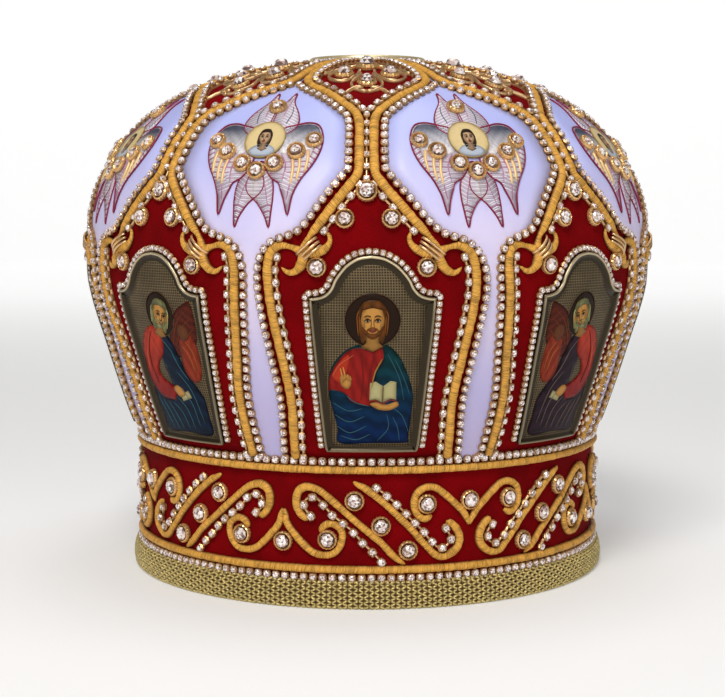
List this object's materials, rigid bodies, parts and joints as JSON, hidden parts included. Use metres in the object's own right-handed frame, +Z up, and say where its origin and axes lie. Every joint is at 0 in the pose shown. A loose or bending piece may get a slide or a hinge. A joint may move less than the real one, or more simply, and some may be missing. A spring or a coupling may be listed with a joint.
{
  "type": "orthodox mitre",
  "caption": "Domed ceremonial cloth crown on a velvet head band, with arched icon panels, winged appliques, gold cord borders and rows of set crystals.",
  "frame": {"origin": "centre of the mitre's foot, on the surface that it stands on", "axes": "+Z up along the axis of symmetry; the front icon faces -Y"},
  "size_m": [0.2416, 0.2416, 0.2146],
  "materials": {
    "red_velvet": "deep crimson pile velvet",
    "white_satin": "white satin with a lavender sheen",
    "gold_cord": "golden satin stitch over padding",
    "gold_braid": "woven metallic gold braid",
    "gold_setting": "polished gold settings and bugle stitches",
    "crystal": "clear cut crystal with silvered backs",
    "bronze": "dark patinated mouldings",
    "icon_enamel": "painted and varnished icon plates",
    "silver_thread": "silver thread with crimson outlines"
  },
  "bodies": {
    "root": {"apex_stone_1": "crystal", "apex_stone_2": "crystal", "apex_stone_3": "crystal", "apex_stone_4": "crystal", "apex_stone_5": "crystal", "apex_stone_6": "crystal", "apex_stone_7": "crystal", "apex_stone_8": "crystal", "band_cord_lower": "gold_cord", "band_cord_upper": "gold_cord", "border_1": "gold_cord", "border_2": "gold_cord", "border_3": "gold_cord", "border_4": "gold_cord", "border_5": "gold_cord", "border_6": "gold_cord", "border_7": "gold_cord", "border_8": "gold_cord", "braid_rim": "gold_braid", "crown_shell": "white_satin", "head_band": "red_velvet", "icon_frame_1": "bronze", "icon_frame_2": "bronze", "icon_frame_3": "bronze", "icon_frame_4": "bronze", "icon_frame_5": "bronze", "icon_frame_6": "bronze", "icon_frame_7": "bronze", "icon_frame_8": "bronze", "icon_plate_1": "icon_enamel", "icon_plate_2": "icon_enamel", "icon_plate_3": "icon_enamel", "icon_plate_4": "icon_enamel", "icon_plate_5": "icon_enamel", "icon_plate_6": "icon_enamel", "icon_plate_7": "icon_enamel", "icon_plate_8": "icon_enamel", "medallion_plate": "icon_enamel", "medallion_rim": "bronze", "seraph_1": "silver_thread", "seraph_2": "silver_thread", "seraph_3": "silver_thread", "seraph_4": "silver_thread", "seraph_5": "silver_thread", "seraph_6": "silver_thread", "seraph_7": "silver_thread", "seraph_8": "silver_thread", "stone_ring_lower": "crystal", "stone_ring_upper": "crystal"}
  },
  "joints": []
}
